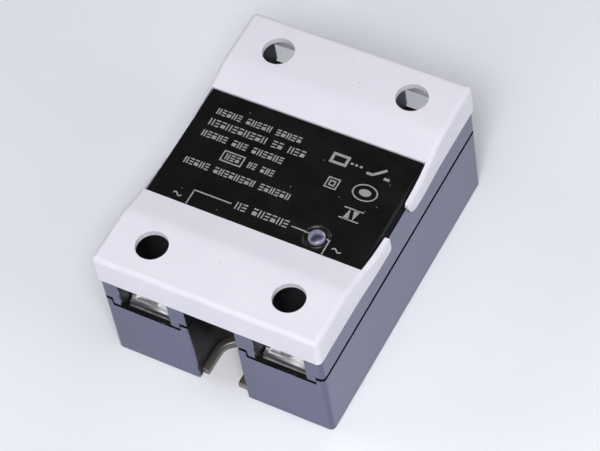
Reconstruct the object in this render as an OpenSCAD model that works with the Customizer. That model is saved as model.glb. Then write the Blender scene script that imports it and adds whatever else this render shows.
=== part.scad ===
// Panel-mount solid state relay, single phase, built as separate pieces.
// +X is the relay's width, +Y points to the load (rear) side, +Z is up.
// The origin is the middle of the footprint, on the surface that the base plate rests on.

/* [Case] */
// Width of the black case
case_w = 44.1; // [42:0.1:48]
// Length of the black case
case_l = 58.8; // [58.4:0.1:62]
// Radius of the case's upright corners
corner_r = 0.9; // [0.5:0.1:1]
// Wall of the lower case
wall = 1.1; // [0.9:0.1:1.2]
// Height of the parting line between the two halves of the case
parting_z = 16.5; // [16.4:0.1:17]
// Height of the ledge that the white covers stand on
ledge_z = 22.2; // [21.6:0.1:22.6]

/* [Covers] */
// Height of the flat tops of the white covers, and of the whole relay
top_z = 28.7; // [28.4:0.1:29.2]
// Overhang of the covers past the case at the sides
cover_side = 0.15; // [0:0.05:0.4]
// Overhang of the covers past the case at the ends
cover_end = 0.45; // [0:0.05:0.6]
// Thickness of the covers
cover_t = 1.2; // [1:0.1:1.3]
// Radius of the covers' top edges
cover_edge_r = 1; // [0.6:0.1:1.4]
// Radius of the concave saddle between the two covers
saddle_r = 60; // [55:1:70]
// Distance from the middle to the crease where the saddle meets the flat top
crease_y = 18.2; // [17.6:0.1:18.8]
// Half of the gap between the side arms of the two covers
arm_gap = 3.6; // [3.5:0.1:6]
// Diameter of the screwdriver holes
driver_hole_d = 6; // [5:0.1:6.6]

/* [Label platform] */
// Width of the raised platform that carries the label
platform_w = 42.6; // [41.6:0.1:42.7]
// Length of the raised platform
platform_l = 24.5; // [22:0.1:26]
// Height of the label's face
label_z = 27; // [26.8:0.1:27.2]
// Thickness of the label
label_t = 0.3; // [0.2:0.1:0.4]
// Indicator's place across the label
led_x = 11.3; // [6:0.1:13]
// Indicator's place along the label
led_y = -9.3; // [-10:0.1:-6]

/* [Terminals] */
// Distance from the middle to a terminal screw, across the relay
term_x = 13.5; // [13.3:0.1:13.7]
// Distance from the middle to a terminal screw, along the relay
term_y = 23.2; // [23.1:0.1:23.4]
// Width of a wire window
window_w = 10.2; // [9.6:0.1:10.4]
// Width of the clamp washers
washer_w = 9.6; // [8.6:0.1:9.7]
// Diameter of the terminal screw heads
head_d = 7; // [6.4:0.1:7.4]
// Diameter of the terminal screws' thread
screw_d = 4; // [3.5:0.5:4]

/* [Mounting] */
// Distance between the mounting hole and the end of the mounting slot
mount_pitch = 47.6; // [47.4:0.1:48]
// Diameter of the rear mounting hole
mount_hole_d = 5.2; // [4.4:0.1:5.6]
// Width of the front mounting slot
mount_slot_w = 6; // [4.6:0.1:6]
// Distance from the middle of the relay to the middle of the slot, across the relay
mount_slot_x = -0.8; // [-0.8:0.1:0.8]
// Width of the recess that the mounting screw's head goes into
recess_w = 10; // [9.6:0.1:10.2]
// Thickness of the metal base plate
plate_t = 1.6; // [1.4:0.1:1.8]

/* [Hidden] */
$fn = 64;

black = "#15151b";
white = "#e4e2ee";
steel = "#b9bcc2";
copper = "#b8734a";

// Small gaps: between pieces of one body, between bodies, and the visible parting groove.
fit_gap = 0.05;
body_gap = 0.1;
groove = 0.8;

// Outer box of the covers.
cover_w = case_w + 2 * cover_side;
cover_l = case_l + 2 * cover_end;

// Radius of inside corners, and of the pieces that fit in them.
inner_r = 0.4;

// Lower case.
lower_bottom = 0.2;
lower_top = parting_z - groove / 2;
sill_z = 14.5;
tongue_in = 6.5;
tongue_out = 20.5;
tongue_slant = 0.2;
tongue_gap = 0.25;
tongue_shift = 0.15;
mount_y = mount_pitch / 2;

// Upper case.
upper_bottom = parting_z + groove / 2;
cavity_w = 40.1;
cavity_l = 34.8;
cavity_top = 25.3;
attic_l = 23;
roof_z = 24;
step_in = 1.4;
step_top = 25.2;
platform_top = label_z - label_t;
rib_top = step_top;
rib_front = 3.1;
rib_rear = 3.3;
lip_drop = 1.4;

// Indicator light and the dished hole round it in the label.
led_r = 1.6;
led_hole_r = 1.7;
led_rim_z = 27.15;
led_dome = 0.55;
label_hole_r = 2.2;
label_hole_rim = 0.55;

// The covers' side arms splay outwards from splay_start, in full from splay_full to the tip.
splay = 0.25;
splay_start = 16;
splay_full = 9;

// Radii of the arms' tips: below on the one arm, below on the other, and above.
tip_low_r = 3;
tip_corner_r = 0.7;
tip_top_r = 0.8;

// Terminal wells: a floor with a nut pocket, side walls, and a back wall.
well_floor = 12;
well_bottom = 8.6;
well_back = 18.7;
well_wall = 1.2;

// Terminal hardware, stacked from the strap upwards.
strap_t = 1;
strap_w = 9.9;
strap_l = 8.8;
strap_top = well_floor + strap_t;
washer_t = 1.25;
washer_l = 8.4;
washer_z = strap_top + fit_gap;
head_h = 2.6;
head_z = washer_z + washer_t + fit_gap;
shank_l = 8;
nut_w = 7;
nut_h = 2.2;
nut_z = well_floor - fit_gap - nut_h;
hole_r = screw_d / 2 + 0.2;
leg_y = 18.6;
leg_w = 6;
foot_y = 13;
tail_w = 5;
tail_y = 14.5;

// Circuit board and the power stage under it.
board_t = 1.6;
board_top = well_floor;
board_z = board_top - board_t;
board_w = 39;
board_l = 33.4;
ledge_y = 14.5;
ledge_l = 3;
ledge_w = 3.4;
stage_y = 5;
ceramic_w = 34.8;
ceramic_l = 24.8;
ceramic_t = 0.6;
pad_w = 16;
pad_l = 23;
pad_x = 9;
pad_t = 0.3;
pad_z = plate_t + ceramic_t;
die_w = 7;
die_t = 0.3;
die_z = pad_z + pad_t;
link_t = 0.5;
link_z = die_z + die_t;
link_w = 4;
link_foot = 3;
gate_lead_d = 0.7;
gate_y_off = 2.9;
potting_z = 5;
potting_h = 3;

// Rounded rectangle, centred, made of straight edges and true arcs.
module round_rect(w, l, r) {
    square([w - 2 * r, l], center = true);
    square([w, l - 2 * r], center = true);
    for (x = [-1, 1], y = [-1, 1])
        translate([x * (w / 2 - r), y * (l / 2 - r)]) circle(r);
}

module slab(w, l, r, z0, z1) {
    translate([0, 0, z0]) linear_extrude(z1 - z0) round_rect(w, l, r);
}

// Box given by its x, y and z ranges.
module span(x0, x1, y0, y1, z0, z1) {
    translate([x0, y0, z0]) cube([x1 - x0, y1 - y0, z1 - z0]);
}

// The same box on the left and on the right.
module both_sides(x0, x1, y0, y1, z0, z1) {
    for (s = [0, 1]) mirror([s, 0, 0]) span(x0, x1, y0, y1, z0, z1);
}

// Outline of a mounting recess at the rear end, open at the back.
module recess_outline(r) {
    translate([0, mount_y]) circle(r);
    translate([-r, mount_y]) square([2 * r, case_l / 2 + 1 - mount_y]);
}

// Recesses at both ends, from z0 to z1.
module recesses(r, z0, z1) {
    for (s = [0, 1]) mirror([0, s, 0])
        translate([0, 0, z0]) linear_extrude(z1 - z0) recess_outline(r);
}

// One of four equal shapes, at each terminal.
module at_terminals() {
    for (sx = [0, 1], sy = [0, 1]) mirror([sx, 0, 0]) mirror([0, sy, 0]) children();
}

// Front tongue outline: the part of the front where the upper case reaches lower.
module tongue_outline(grow) {
    polygon([
        [tongue_in - grow, lower_top + 1],
        [tongue_in - grow, lower_top],
        [tongue_in + tongue_slant - grow, sill_z],
        [tongue_out - tongue_slant + grow, sill_z],
        [tongue_out + grow, lower_top],
        [tongue_out + grow, lower_top + 1]
    ]);
}

module front_tongues(grow, y0, y1) {
    for (s = [0, 1]) mirror([s, 0, 0])
        translate([0, y1, 0]) rotate([90, 0, 0]) linear_extrude(y1 - y0) tongue_outline(grow);
}

// Section of the chamfer along the slot's two straight edges.
module slot_chamfer(size) {
    half = mount_slot_w / 2;
    polygon([
        [-half, plate_t - size],
        [half, plate_t - size],
        [half + 2 * size, plate_t + size],
        [-half - 2 * size, plate_t + size]
    ]);
}

module base_plate() {
    plate_w = case_w - 2 * wall - 2 * body_gap;
    plate_l = case_l - 2 * wall - 2 * body_gap;
    chamfer = 0.3;
    color(steel) difference() {
        slab(plate_w, plate_l, inner_r, 0, plate_t);
        // Rear hole.
        translate([0, mount_y, -1]) cylinder(d = mount_hole_d, h = plate_t + 2);
        // Front slot, open at the front, its top edge broken by a chamfer.
        translate([mount_slot_x, -mount_y, 0]) {
            translate([0, 0, -1]) cylinder(d = mount_slot_w, h = plate_t + 2);
            span(-mount_slot_w / 2, mount_slot_w / 2, -case_l / 2, 0, -1, plate_t + 1);
            translate([0, 0, plate_t - chamfer])
                cylinder(d1 = mount_slot_w, d2 = mount_slot_w + 4 * chamfer, h = 2 * chamfer);
            rotate([90, 0, 0]) linear_extrude(case_l / 2) slot_chamfer(chamfer);
        }
    }
}

module lower_case() {
    outer = case_l / 2;
    color(black) difference() {
        union() {
            difference() {
                slab(case_w, case_l, corner_r, lower_bottom, lower_top);
                slab(case_w - 2 * wall, case_l - 2 * wall, inner_r, -1, lower_top + 1);
            }
            // Walls round the mounting recesses stand on the base plate.
            intersection() {
                slab(case_w - wall, case_l - wall, corner_r, plate_t, lower_top);
                recesses(recess_w / 2 + wall + 0.1, plate_t, lower_top);
            }
            // Ledges that carry the circuit board.
            for (s = [-1, 1])
                both_sides(case_w / 2 - wall - ledge_w, case_w / 2 - wall / 2,
                    s * ledge_y - ledge_l / 2, s * ledge_y + ledge_l / 2, plate_t, board_z);
        }
        recesses(recess_w / 2, -1, lower_top + 1);
        front_tongues(0, -outer - 1, -outer + wall + 0.4);
    }
}

// Everything that is cut out of the upper case from its terminals outwards.
module well_cuts() {
    half = window_w / 2;
    back_gap = 0.1;
    at_terminals() {
        span(term_x - half, term_x + half, well_back, case_l / 2 + 1, well_floor, top_z);
        // Nut pocket, and a way through for the screw's end.
        span(term_x - nut_w / 2 - body_gap, term_x + nut_w / 2 + body_gap,
            term_y - nut_w / 2 - body_gap, term_y + nut_w / 2 + body_gap,
            nut_z - fit_gap, well_floor + 1);
        translate([term_x, term_y, well_bottom - 1]) cylinder(r = hole_r + 0.2, h = 4);
    }
    // Front: the control straps leave through the back wall.
    both_sides(term_x - tail_w / 2 - back_gap, term_x + tail_w / 2 + back_gap,
        -well_back - 1, -cavity_l / 2 + 1, well_floor - fit_gap, strap_top + fit_gap);
    // Rear: the load straps go down through the floor.
    both_sides(term_x - leg_w / 2 - back_gap, term_x + leg_w / 2 + back_gap,
        leg_y - back_gap, leg_y + strap_t + back_gap, well_bottom - 1, well_floor + 1);
}

module upper_case() {
    half_l = case_l / 2;
    well_half = window_w / 2 + well_wall;
    color(black) difference() {
        union() {
            slab(case_w, case_l, corner_r, upper_bottom, ledge_z);
            slab(case_w - 2 * step_in, case_l - 2 * step_in, corner_r, ledge_z - 1, step_top);
            span(-platform_w / 2, platform_w / 2, -platform_l / 2, platform_l / 2,
                ledge_z - 1, platform_top);
            // Ribs at mid-length fill the gap between the covers' arms.
            both_sides(platform_w / 2 - 1, case_w / 2, -rib_front, rib_rear,
                ledge_z - 1, rib_top);
            // Lip that drops inside the lower case.
            slab(case_w - 2 * wall - body_gap, case_l - 2 * wall - body_gap, inner_r,
                parting_z - lip_drop, upper_bottom + 0.5);
            // Terminal wells.
            at_terminals() span(term_x - well_half, term_x + well_half,
                cavity_l / 2, half_l - wall - body_gap, well_bottom, upper_bottom + 1);
            translate([tongue_shift, 0, 0])
                front_tongues(-tongue_gap, -half_l, -half_l + wall + 0.3);
        }
        // Room for the electronics, open below, and higher under the label platform.
        span(-cavity_w / 2, cavity_w / 2, -cavity_l / 2, cavity_l / 2, 0, roof_z);
        span(-cavity_w / 2, cavity_w / 2, -attic_l / 2, attic_l / 2, 0, cavity_top);
        // Under the wells and between them the lip stays a thin wall.
        recesses(recess_w / 2, 0, top_z);
        recesses(recess_w / 2 + wall + 0.15, 0, upper_bottom);
        well_cuts();
        translate([led_x, led_y, 0]) cylinder(r = led_hole_r, h = top_z);
        // The tongues end a groove's width above the sill.
        both_sides(tongue_in - 1, tongue_out + 1, -half_l - 1, -half_l + wall + 0.05,
            sill_z - 1, sill_z + groove);
    }
}

// Side view of a cover's top: flat, rounded at the end, scooped towards the middle.
module cover_profile(inset) {
    saddle_z = top_z + sqrt(saddle_r * saddle_r - crease_y * crease_y);
    r = max(cover_edge_r - inset, inner_r);
    difference() {
        union() {
            translate([arm_gap - inset, ledge_z - 2 - inset])
                square([cover_l / 2 - r - arm_gap, top_z - ledge_z + 2]);
            translate([arm_gap - inset, ledge_z - 2 - inset])
                square([cover_l / 2 - arm_gap, top_z - ledge_z + 2 - r]);
            translate([cover_l / 2 - inset - r, top_z - inset - r]) circle(r);
        }
        translate([0, saddle_z - inset]) circle(saddle_r, $fn = 360);
    }
}

// End view of the covers, w wide: a rectangle with its two top corners rounded.
module cover_section(w, inset) {
    r = max(cover_edge_r - inset, inner_r);
    translate([-w / 2 + r, ledge_z - 2]) square([w - 2 * r, top_z - inset - ledge_z + 2]);
    translate([-w / 2, ledge_z - 2]) square([w, top_z - inset - r - ledge_z + 2]);
    for (s = [-1, 1]) translate([s * (w / 2 - r), top_z - inset - r]) circle(r);
}

// Solid of a cover's outside, or of its inside when inset is its thickness.
module cover_solid(inset, z0) {
    r = inset > 0 ? inner_r : corner_r;
    intersection() {
        slab(cover_w - 2 * inset, cover_l - 2 * inset, r, z0, top_z + 1);
        translate([-cover_w, 0, 0]) rotate([90, 0, 90]) linear_extrude(2 * cover_w)
            cover_profile(inset);
        translate([0, cover_l, 0]) rotate([90, 0, 0]) linear_extrude(2 * cover_l)
            cover_section(cover_w - 2 * inset, inset);
    }
}

// Plan of what the splay adds to the right side arm.
module splay_outline() {
    side = cover_w / 2;
    root = 0.6;
    polygon([
        [side - root, splay_start],
        [side, splay_start],
        [side + splay, splay_full],
        [side + splay, arm_gap],
        [side - root, arm_gap]
    ]);
}

// The splay of the right side arm, under the same top as the rest.
module arm_splay(z0) {
    intersection() {
        translate([0, 0, z0]) linear_extrude(top_z - z0) splay_outline();
        rotate([90, 0, 90]) linear_extrude(cover_w) cover_profile(0);
        translate([0, cover_l, 0]) rotate([90, 0, 0]) linear_extrude(2 * cover_l)
            cover_section(cover_w + 2 * splay, 0);
    }
}

// Plan of the opening between the side arms.
module arm_opening() {
    side = platform_w / 2 + body_gap;
    far = platform_l / 2 + body_gap;
    for (s = [0, 1]) mirror([s, 0])
        polygon([[0, 0], [side + splay, 0], [side + splay, splay_full], [side, far], [0, far]]);
}

// Side view of what is cut away to round a side arm's tip.
module tip_corner(r) {
    difference() {
        translate([-1, -1]) square(r + 1);
        translate([r, r]) circle(r);
    }
}

// What is cut away at the tip of the right side arm, rounded by low_r below.
module tip_cut(low_r) {
    bottom = ledge_z + fit_gap;
    arm_top = top_z + sqrt(saddle_r * saddle_r - crease_y * crease_y)
        - sqrt(saddle_r * saddle_r - arm_gap * arm_gap);
    rotate([90, 0, 90]) linear_extrude(cover_w) {
        translate([arm_gap, bottom]) tip_corner(low_r);
        translate([arm_gap, arm_top]) mirror([0, 1]) tip_corner(tip_top_r);
    }
}

module rear_cover() {
    bottom = ledge_z + fit_gap;
    color(white) difference() {
        union() {
            cover_solid(0, bottom);
            for (s = [0, 1]) mirror([s, 0, 0]) arm_splay(bottom);
        }
        cover_solid(cover_t, bottom - 1);
        // The two arms' tips differ.
        tip_cut(tip_low_r);
        mirror([1, 0, 0]) tip_cut(tip_corner_r);
        // The label platform comes up between the side arms.
        linear_extrude(top_z + 1) arm_opening();
        for (s = [-1, 1]) translate([s * term_x, term_y, ledge_z])
            cylinder(d = driver_hole_d, h = 10);
    }
}

// The same moulding, turned round.
module front_cover() {
    rotate(180) rear_cover();
}

module label() {
    margin = 0.1;
    color("#0c0c0e") difference() {
        span(-platform_w / 2 + margin, platform_w / 2 - margin,
            -platform_l / 2 + margin, platform_l / 2 - margin, platform_top, label_z);
        // The hole for the indicator has a dished rim.
        translate([led_x, led_y, platform_top - 1]) cylinder(r = label_hole_r, h = 2);
        translate([led_x, led_y, platform_top]) cylinder(r1 = label_hole_r,
            r2 = label_hole_r + 2 * label_hole_rim, h = 2 * label_t);
    }
}

module led() {
    flange = 0.4;
    led_top = led_rim_z + led_dome;
    dome_r = (led_r * led_r + led_dome * led_dome) / (2 * led_dome);
    color("#d8e6ea") translate([led_x, led_y, 0]) {
        translate([0, 0, cavity_top - 1]) cylinder(r = led_r + flange, h = 1 - fit_gap);
        intersection() {
            translate([0, 0, cavity_top - 1]) cylinder(r = led_r, h = led_top - cavity_top + 2);
            translate([0, 0, led_top - dome_r]) sphere(dome_r);
        }
    }
}

module led_leads() {
    w = 0.5;
    color(steel) for (s = [-1, 1])
        translate([led_x + s * 1.27 - w / 2, led_y - w / 2, board_top])
            cube([w, w, cavity_top - 1 - board_top]);
}

module circuit_board() {
    notch_w = 2.4;
    color("#2f6b3c") difference() {
        span(-board_w / 2, board_w / 2, -board_l / 2, board_l / 2, board_z, board_top);
        // Index notches at the ends.
        for (s = [-1, 1]) span(-notch_w / 2, notch_w / 2, s * board_l / 2 - 1, s * board_l / 2 + 1,
            board_z - 1, board_top + 1);
    }
}

// The power stage lies on the base plate, behind the middle.
module ceramic_substrate() {
    color("#efe9df") span(-ceramic_w / 2, ceramic_w / 2,
        stage_y - ceramic_l / 2, stage_y + ceramic_l / 2, plate_t, pad_z);
}

// Copper pad on the ceramic; side is -1 for left and 1 for right.
module copper_pad(side) {
    color(copper) translate([side * pad_x, stage_y, pad_z + pad_t / 2])
        cube([pad_w, pad_l, pad_t], center = true);
}

// The two dies stand on opposite pads, one ahead of the other.
function die_y(side) = side < 0 ? 0 : 8;

module thyristor_die(side) {
    color("#6c7076") translate([side * die_w, die_y(side), die_z + die_t / 2])
        cube([die_w, die_w, die_t], center = true);
}

// Copper link from a die's top to the other pad.
module die_link(side) {
    y = die_y(side);
    far = pad_x - 3;
    color(copper) mirror([side < 0 ? 1 : 0, 0, 0]) {
        span(-far, pad_x, y - link_w / 2, y + link_w / 2, link_z, link_z + link_t);
        span(-far, link_foot - far, y - link_w / 2, y + link_w / 2,
            die_z, link_z + link_t / 2);
    }
}

module gate_lead(side) {
    y = die_y(side) - side * gate_y_off;
    color(steel) translate([side * die_w, y, link_z])
        cylinder(d = gate_lead_d, h = board_z - link_z);
}

module potting() {
    half_w = case_w / 2 - wall - body_gap;
    half_l = cavity_l / 2 - body_gap;
    color("#2a2622") difference() {
        span(-half_w, half_w, -half_l, half_l, potting_z, potting_z + potting_h);
        for (s = [-1, 1])
            both_sides(half_w - ledge_w - body_gap, half_w + 1,
                s * ledge_y - ledge_l / 2 - body_gap, s * ledge_y + ledge_l / 2 + body_gap,
                0, board_z);
        for (side = [-1, 1])
            translate([side * die_w, die_y(side) - side * gate_y_off, 0])
                cylinder(d = gate_lead_d + body_gap, h = board_z);
    }
}

// Flat strap end that lies in a well, with the screw's clearance hole.
module strap_plate(side, end) {
    translate([side * term_x, end * term_y, 0]) difference() {
        span(-strap_w / 2, strap_w / 2, -strap_l / 2, strap_l / 2, well_floor, strap_top);
        translate([0, 0, well_floor - 1]) cylinder(r = hole_r, h = strap_t + 2);
    }
}

module control_strap(side) {
    x = side * term_x;
    color(steel) union() {
        strap_plate(side, -1);
        span(x - tail_w / 2, x + tail_w / 2, -term_y + 4, -tail_y, well_floor, strap_top);
    }
}

module load_strap(side) {
    x = side * term_x;
    color(steel) union() {
        strap_plate(side, 1);
        span(x - leg_w / 2, x + leg_w / 2, leg_y, leg_y + strap_t, die_z, strap_top);
        span(x - leg_w / 2, x + leg_w / 2, foot_y, leg_y + strap_t, die_z, die_z + strap_t);
    }
}

module terminal_nut(side, end) {
    color(steel) translate([side * term_x, end * term_y, nut_z]) difference() {
        translate([-nut_w / 2, -nut_w / 2, 0]) cube([nut_w, nut_w, nut_h]);
        translate([0, 0, -1]) cylinder(r = screw_d / 2 + fit_gap, h = nut_h + 2);
    }
}

// Clamp washer with a raised lip at each side and ridges across both faces.
module clamp_washer(side, end) {
    lip = 0.9;
    lip_h = 0.6;
    ridge = 0.35;
    ridge_pitch = 0.7;
    color(steel) translate([side * term_x, end * term_y, washer_z]) difference() {
        union() {
            span(-washer_w / 2, washer_w / 2, -washer_l / 2, washer_l / 2, 0, washer_t);
            for (s = [-1, 1])
                translate([s * (washer_w - lip) / 2, 0, (washer_t + lip_h) / 2])
                    cube([lip, washer_l - 2, washer_t + lip_h], center = true);
        }
        translate([0, 0, -1]) cylinder(r = hole_r, h = washer_t + 2);
        // The ridges underneath grip the wire, and those on top show beside the screw head.
        for (i = [-5:5]) translate([0, i * ridge_pitch, 0]) rotate([45, 0, 0])
            cube([washer_w + 1, ridge, ridge], center = true);
        for (s = [-1, 1], i = [4:5]) translate([0, s * i * ridge_pitch, washer_t])
            rotate([45, 0, 0]) cube([washer_w - 2 * lip, ridge, ridge], center = true);
    }
}

// Pan-head screw with a combined cross and slot drive.
module terminal_screw(side, end) {
    drive_depth = 1.6;
    slot_depth = 1.1;
    slot_w = 1;
    cross_l = 4.2;
    crown = 0.5;
    color(steel) translate([side * term_x, end * term_y, head_z]) difference() {
        union() {
            rotate_extrude() {
                square([head_d / 2, head_h - crown]);
                square([head_d / 2 - crown, head_h]);
                translate([head_d / 2 - crown, head_h - crown]) circle(crown);
            }
            translate([0, 0, -shank_l]) cylinder(d = screw_d, h = shank_l + 0.5);
        }
        translate([-slot_w / 2, -head_d, head_h - slot_depth])
            cube([slot_w, 2 * head_d, slot_depth + 1]);
        for (a = [0, 90]) rotate(a)
            translate([-cross_l / 2, -slot_w / 2, head_h - drive_depth])
                cube([cross_l, slot_w, drive_depth + 1]);
    }
}

// Small dual in-line package with legs at its long sides.
module dual_inline(w, l, h, legs) {
    stand = 0.6;
    pitch = 2.54;
    color("#1b1b1e") translate([-w / 2, -l / 2, board_top + stand]) cube([w, l, h]);
    color(steel) for (s = [-1, 1], i = [0:legs - 1])
        translate([s * (w / 2 + 0.3) - 0.3, (i - (legs - 1) / 2) * pitch - 0.4, board_top])
            cube([0.6, 0.8, stand + h / 2]);
}

module optocoupler() {
    translate([0, -2, 0]) dual_inline(6.4, 8.8, 3.4, 3);
}

module bridge_rectifier() {
    translate([-12.5, -8, 0]) dual_inline(6.4, 8.2, 3.2, 2);
}

// Upright radial capacitor with a rolled-in sleeve.
module input_capacitor() {
    color("#20242c") translate([2, -11, board_top]) union() {
        cylinder(d = 6.3, h = 10.6);
        cylinder(d = 5.6, h = 11);
    }
}

// Axial resistor lying along x, with its bent leads standing on the board.
module axial_resistor(d, l, span_l) {
    lead = 0.6;
    lift = d / 2 + 0.4;
    translate([0, 0, board_top + lift]) {
        rotate([0, 90, 0]) cylinder(d = d, h = l, center = true);
        rotate([0, 90, 0]) cylinder(d = lead, h = span_l, center = true);
    }
    for (s = [-1, 1]) translate([s * span_l / 2, 0, board_top]) cylinder(d = lead, h = lift + lead / 2);
}

module dropper_resistor(n) {
    color("#9fb4c4") translate([-12, -0.5 + 4.2 * n, 0]) axial_resistor(3.2, 8, 11);
}

module snubber_capacitor() {
    color("#c8b23c") translate([12, 9, board_top + 5.5]) cube([6, 13, 11], center = true);
}

module snubber_resistor() {
    color("#8a97a3") translate([0, 14, 0]) axial_resistor(4, 10, 13);
}

module gate_resistor(n) {
    color("#c9b48c") translate([2.2, 3.2 + 3.4 * n, 0]) axial_resistor(2, 5, 7.4);
}

module surge_varistor() {
    color("#2f5da8") translate([13, 0, board_top + 5.4]) rotate([90, 0, 0])
        cylinder(d = 9, h = 3.6, center = true);
    color(steel) for (s = [-1, 1]) translate([13 + s * 2.5, 0, board_top]) cylinder(d = 0.7, h = 4);
}

base_plate();
lower_case();
upper_case();
front_cover();
rear_cover();
label();
led();
led_leads();
circuit_board();
ceramic_substrate();
copper_pad(-1);  // copper_pad_left
copper_pad(1);  // copper_pad_right
thyristor_die(-1);  // thyristor_die_left
thyristor_die(1);  // thyristor_die_right
die_link(-1);  // die_link_left
die_link(1);  // die_link_right
gate_lead(-1);  // gate_lead_left
gate_lead(1);  // gate_lead_right
potting();
control_strap(-1);  // control_strap_left
control_strap(1);  // control_strap_right
load_strap(-1);  // load_strap_left
load_strap(1);  // load_strap_right
terminal_nut(-1, -1);  // terminal_nut_fl
terminal_nut(1, -1);  // terminal_nut_fr
terminal_nut(-1, 1);  // terminal_nut_rl
terminal_nut(1, 1);  // terminal_nut_rr
clamp_washer(-1, -1);  // clamp_washer_fl
clamp_washer(1, -1);  // clamp_washer_fr
clamp_washer(-1, 1);  // clamp_washer_rl
clamp_washer(1, 1);  // clamp_washer_rr
terminal_screw(-1, -1);  // terminal_screw_fl
terminal_screw(1, -1);  // terminal_screw_fr
terminal_screw(-1, 1);  // terminal_screw_rl
terminal_screw(1, 1);  // terminal_screw_rr
optocoupler();
bridge_rectifier();
input_capacitor();
dropper_resistor(1);  // dropper_resistor_1
dropper_resistor(2);  // dropper_resistor_2
snubber_capacitor();
snubber_resistor();
gate_resistor(1);  // gate_resistor_1
gate_resistor(2);  // gate_resistor_2
surge_varistor();
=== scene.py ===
"""Looks of a panel-mount solid state relay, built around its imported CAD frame.

Lengths named here are in millimetres and are turned into metres by MM.
The frame is the CAD's: +X is the width, +Y the load end, +Z is up, the base rests at zero.
"""

import math

import bmesh
import bpy
from mathutils import Matrix, Vector


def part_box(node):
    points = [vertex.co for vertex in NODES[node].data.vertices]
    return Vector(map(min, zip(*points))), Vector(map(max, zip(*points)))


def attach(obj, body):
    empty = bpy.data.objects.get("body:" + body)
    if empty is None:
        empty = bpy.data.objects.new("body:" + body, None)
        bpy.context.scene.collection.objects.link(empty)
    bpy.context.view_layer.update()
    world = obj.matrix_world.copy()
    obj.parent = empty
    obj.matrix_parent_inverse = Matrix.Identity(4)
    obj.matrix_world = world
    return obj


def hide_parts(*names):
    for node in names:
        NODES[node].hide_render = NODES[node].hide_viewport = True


MM = 0.001

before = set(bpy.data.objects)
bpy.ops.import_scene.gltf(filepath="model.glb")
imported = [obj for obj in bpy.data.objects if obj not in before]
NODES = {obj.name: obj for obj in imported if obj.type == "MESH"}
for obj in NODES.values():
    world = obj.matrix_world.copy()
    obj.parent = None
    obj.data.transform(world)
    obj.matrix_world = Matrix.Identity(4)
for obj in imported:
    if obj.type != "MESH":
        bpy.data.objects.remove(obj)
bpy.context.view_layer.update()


def node_box(name):
    """Lowest and highest corner of a CAD node, in millimetres."""
    low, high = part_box(name)
    return low / MM, high / MM


# ---------------------------------------------------------------- driving sizes

REAR_LOW, REAR_HIGH = node_box("rear_cover")
LABEL_LOW, LABEL_HIGH = node_box("label")
LED_LOW, LED_HIGH = node_box("led")
SCREW_LOW, SCREW_HIGH = node_box("terminal_screw_rr")
CASE_HIGH = node_box("upper_case")[1]

# The white covers. Everything is given for the rear one; the front one is the same, turned round.
COVER_T = 1.2
COVER_EDGE_R = 1.0
COVER_CORNER_R = 0.9
COVER_INNER_R = 0.3
TIP_LOW_R = 3.0
TIP_CORNER_R = 0.7
TIP_TOP_R = 0.8
SPLAY = 0.25
SPLAY_START = 16.0
SPLAY_FULL = 9.0
SADDLE_R = 60.0
CREASE_Y = 18.2
CREASE_BLEND = 1.1
DRIVER_HOLE_R = 3.0
HOLE_X = (SCREW_LOW.x + SCREW_HIGH.x) / 2
HOLE_Y = (SCREW_LOW.y + SCREW_HIGH.y) / 2
COVER_HALF_W = REAR_HIGH.x - SPLAY
COVER_BOTTOM = REAR_LOW.z
COVER_TOP = REAR_HIGH.z
COVER_END = REAR_HIGH.y
ARM_GAP = REAR_LOW.y
SADDLE_Z = COVER_TOP + math.sqrt(SADDLE_R**2 - CREASE_Y**2)
OPENING_X = LABEL_HIGH.x + 0.2
OPENING_Y = LABEL_HIGH.y + 0.2

# Gussets of the upper case, which fill the corners under the arms' round tips.
RIB_END = 3.3
RIB_TOP = 25.2
CASE_STEP_X = 20.9
LEDGE_Z = 22.2
GUSSET_GAP = 0.12
GUSSET_ROOT = 0.35
PROUD = 0.002

# Indicator light.
LED_X = (LED_LOW.x + LED_HIGH.x) / 2
LED_Y = (LED_LOW.y + LED_HIGH.y) / 2
LED_FLANGE_R = (LED_HIGH.x - LED_LOW.x) / 2
LED_R = 1.6
LED_CAP_R = 1.35
LED_CAP_SLOPE = 25
LED_FLANGE_T = 0.95
LED_CUP_R = 0.85
LED_CUP_Z = LED_HIGH.z - 1.6
COLLAR_R = 2.24
COLLAR_BOTTOM = 26.3
COLLAR_TOP = 26.95

# Ink on the label.
INK_T = 0.02
INK_Z = LABEL_HIGH.z
BAR = 0.26
WORD_GAP = 0.8
LED_RIM_R = 2.75
LED_HOLE_R = 2.25
LED_RIM_DROP = 0.20


# ---------------------------------------------------------------- node helpers


def new_material(name):
    """An empty material with a Principled shader, and the shader's own sockets."""
    mat = bpy.data.materials.new(name)
    mat.use_nodes = True
    tree = mat.node_tree
    tree.nodes.clear()
    out = tree.nodes.new("ShaderNodeOutputMaterial")
    shader = tree.nodes.new("ShaderNodeBsdfPrincipled")
    tree.links.new(shader.outputs["BSDF"], out.inputs["Surface"])
    return mat, tree, shader


def coordinates(tree, stretch=(1, 1, 1)):
    """Object coordinates in millimetres, stretched along each axis."""
    place = tree.nodes.new("ShaderNodeTexCoord")
    mapping = tree.nodes.new("ShaderNodeMapping")
    mapping.inputs["Scale"].default_value = [s / MM for s in stretch]
    tree.links.new(place.outputs["Object"], mapping.inputs["Vector"])
    return mapping.outputs["Vector"]


def noise(tree, vector, scale, detail=3.0, roughness=0.5):
    """Noise value; scale is in cycles per millimetre."""
    node = tree.nodes.new("ShaderNodeTexNoise")
    node.inputs["Scale"].default_value = scale
    node.inputs["Detail"].default_value = detail
    node.inputs["Roughness"].default_value = roughness
    tree.links.new(vector, node.inputs["Vector"])
    return node.outputs["Fac"]


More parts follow.
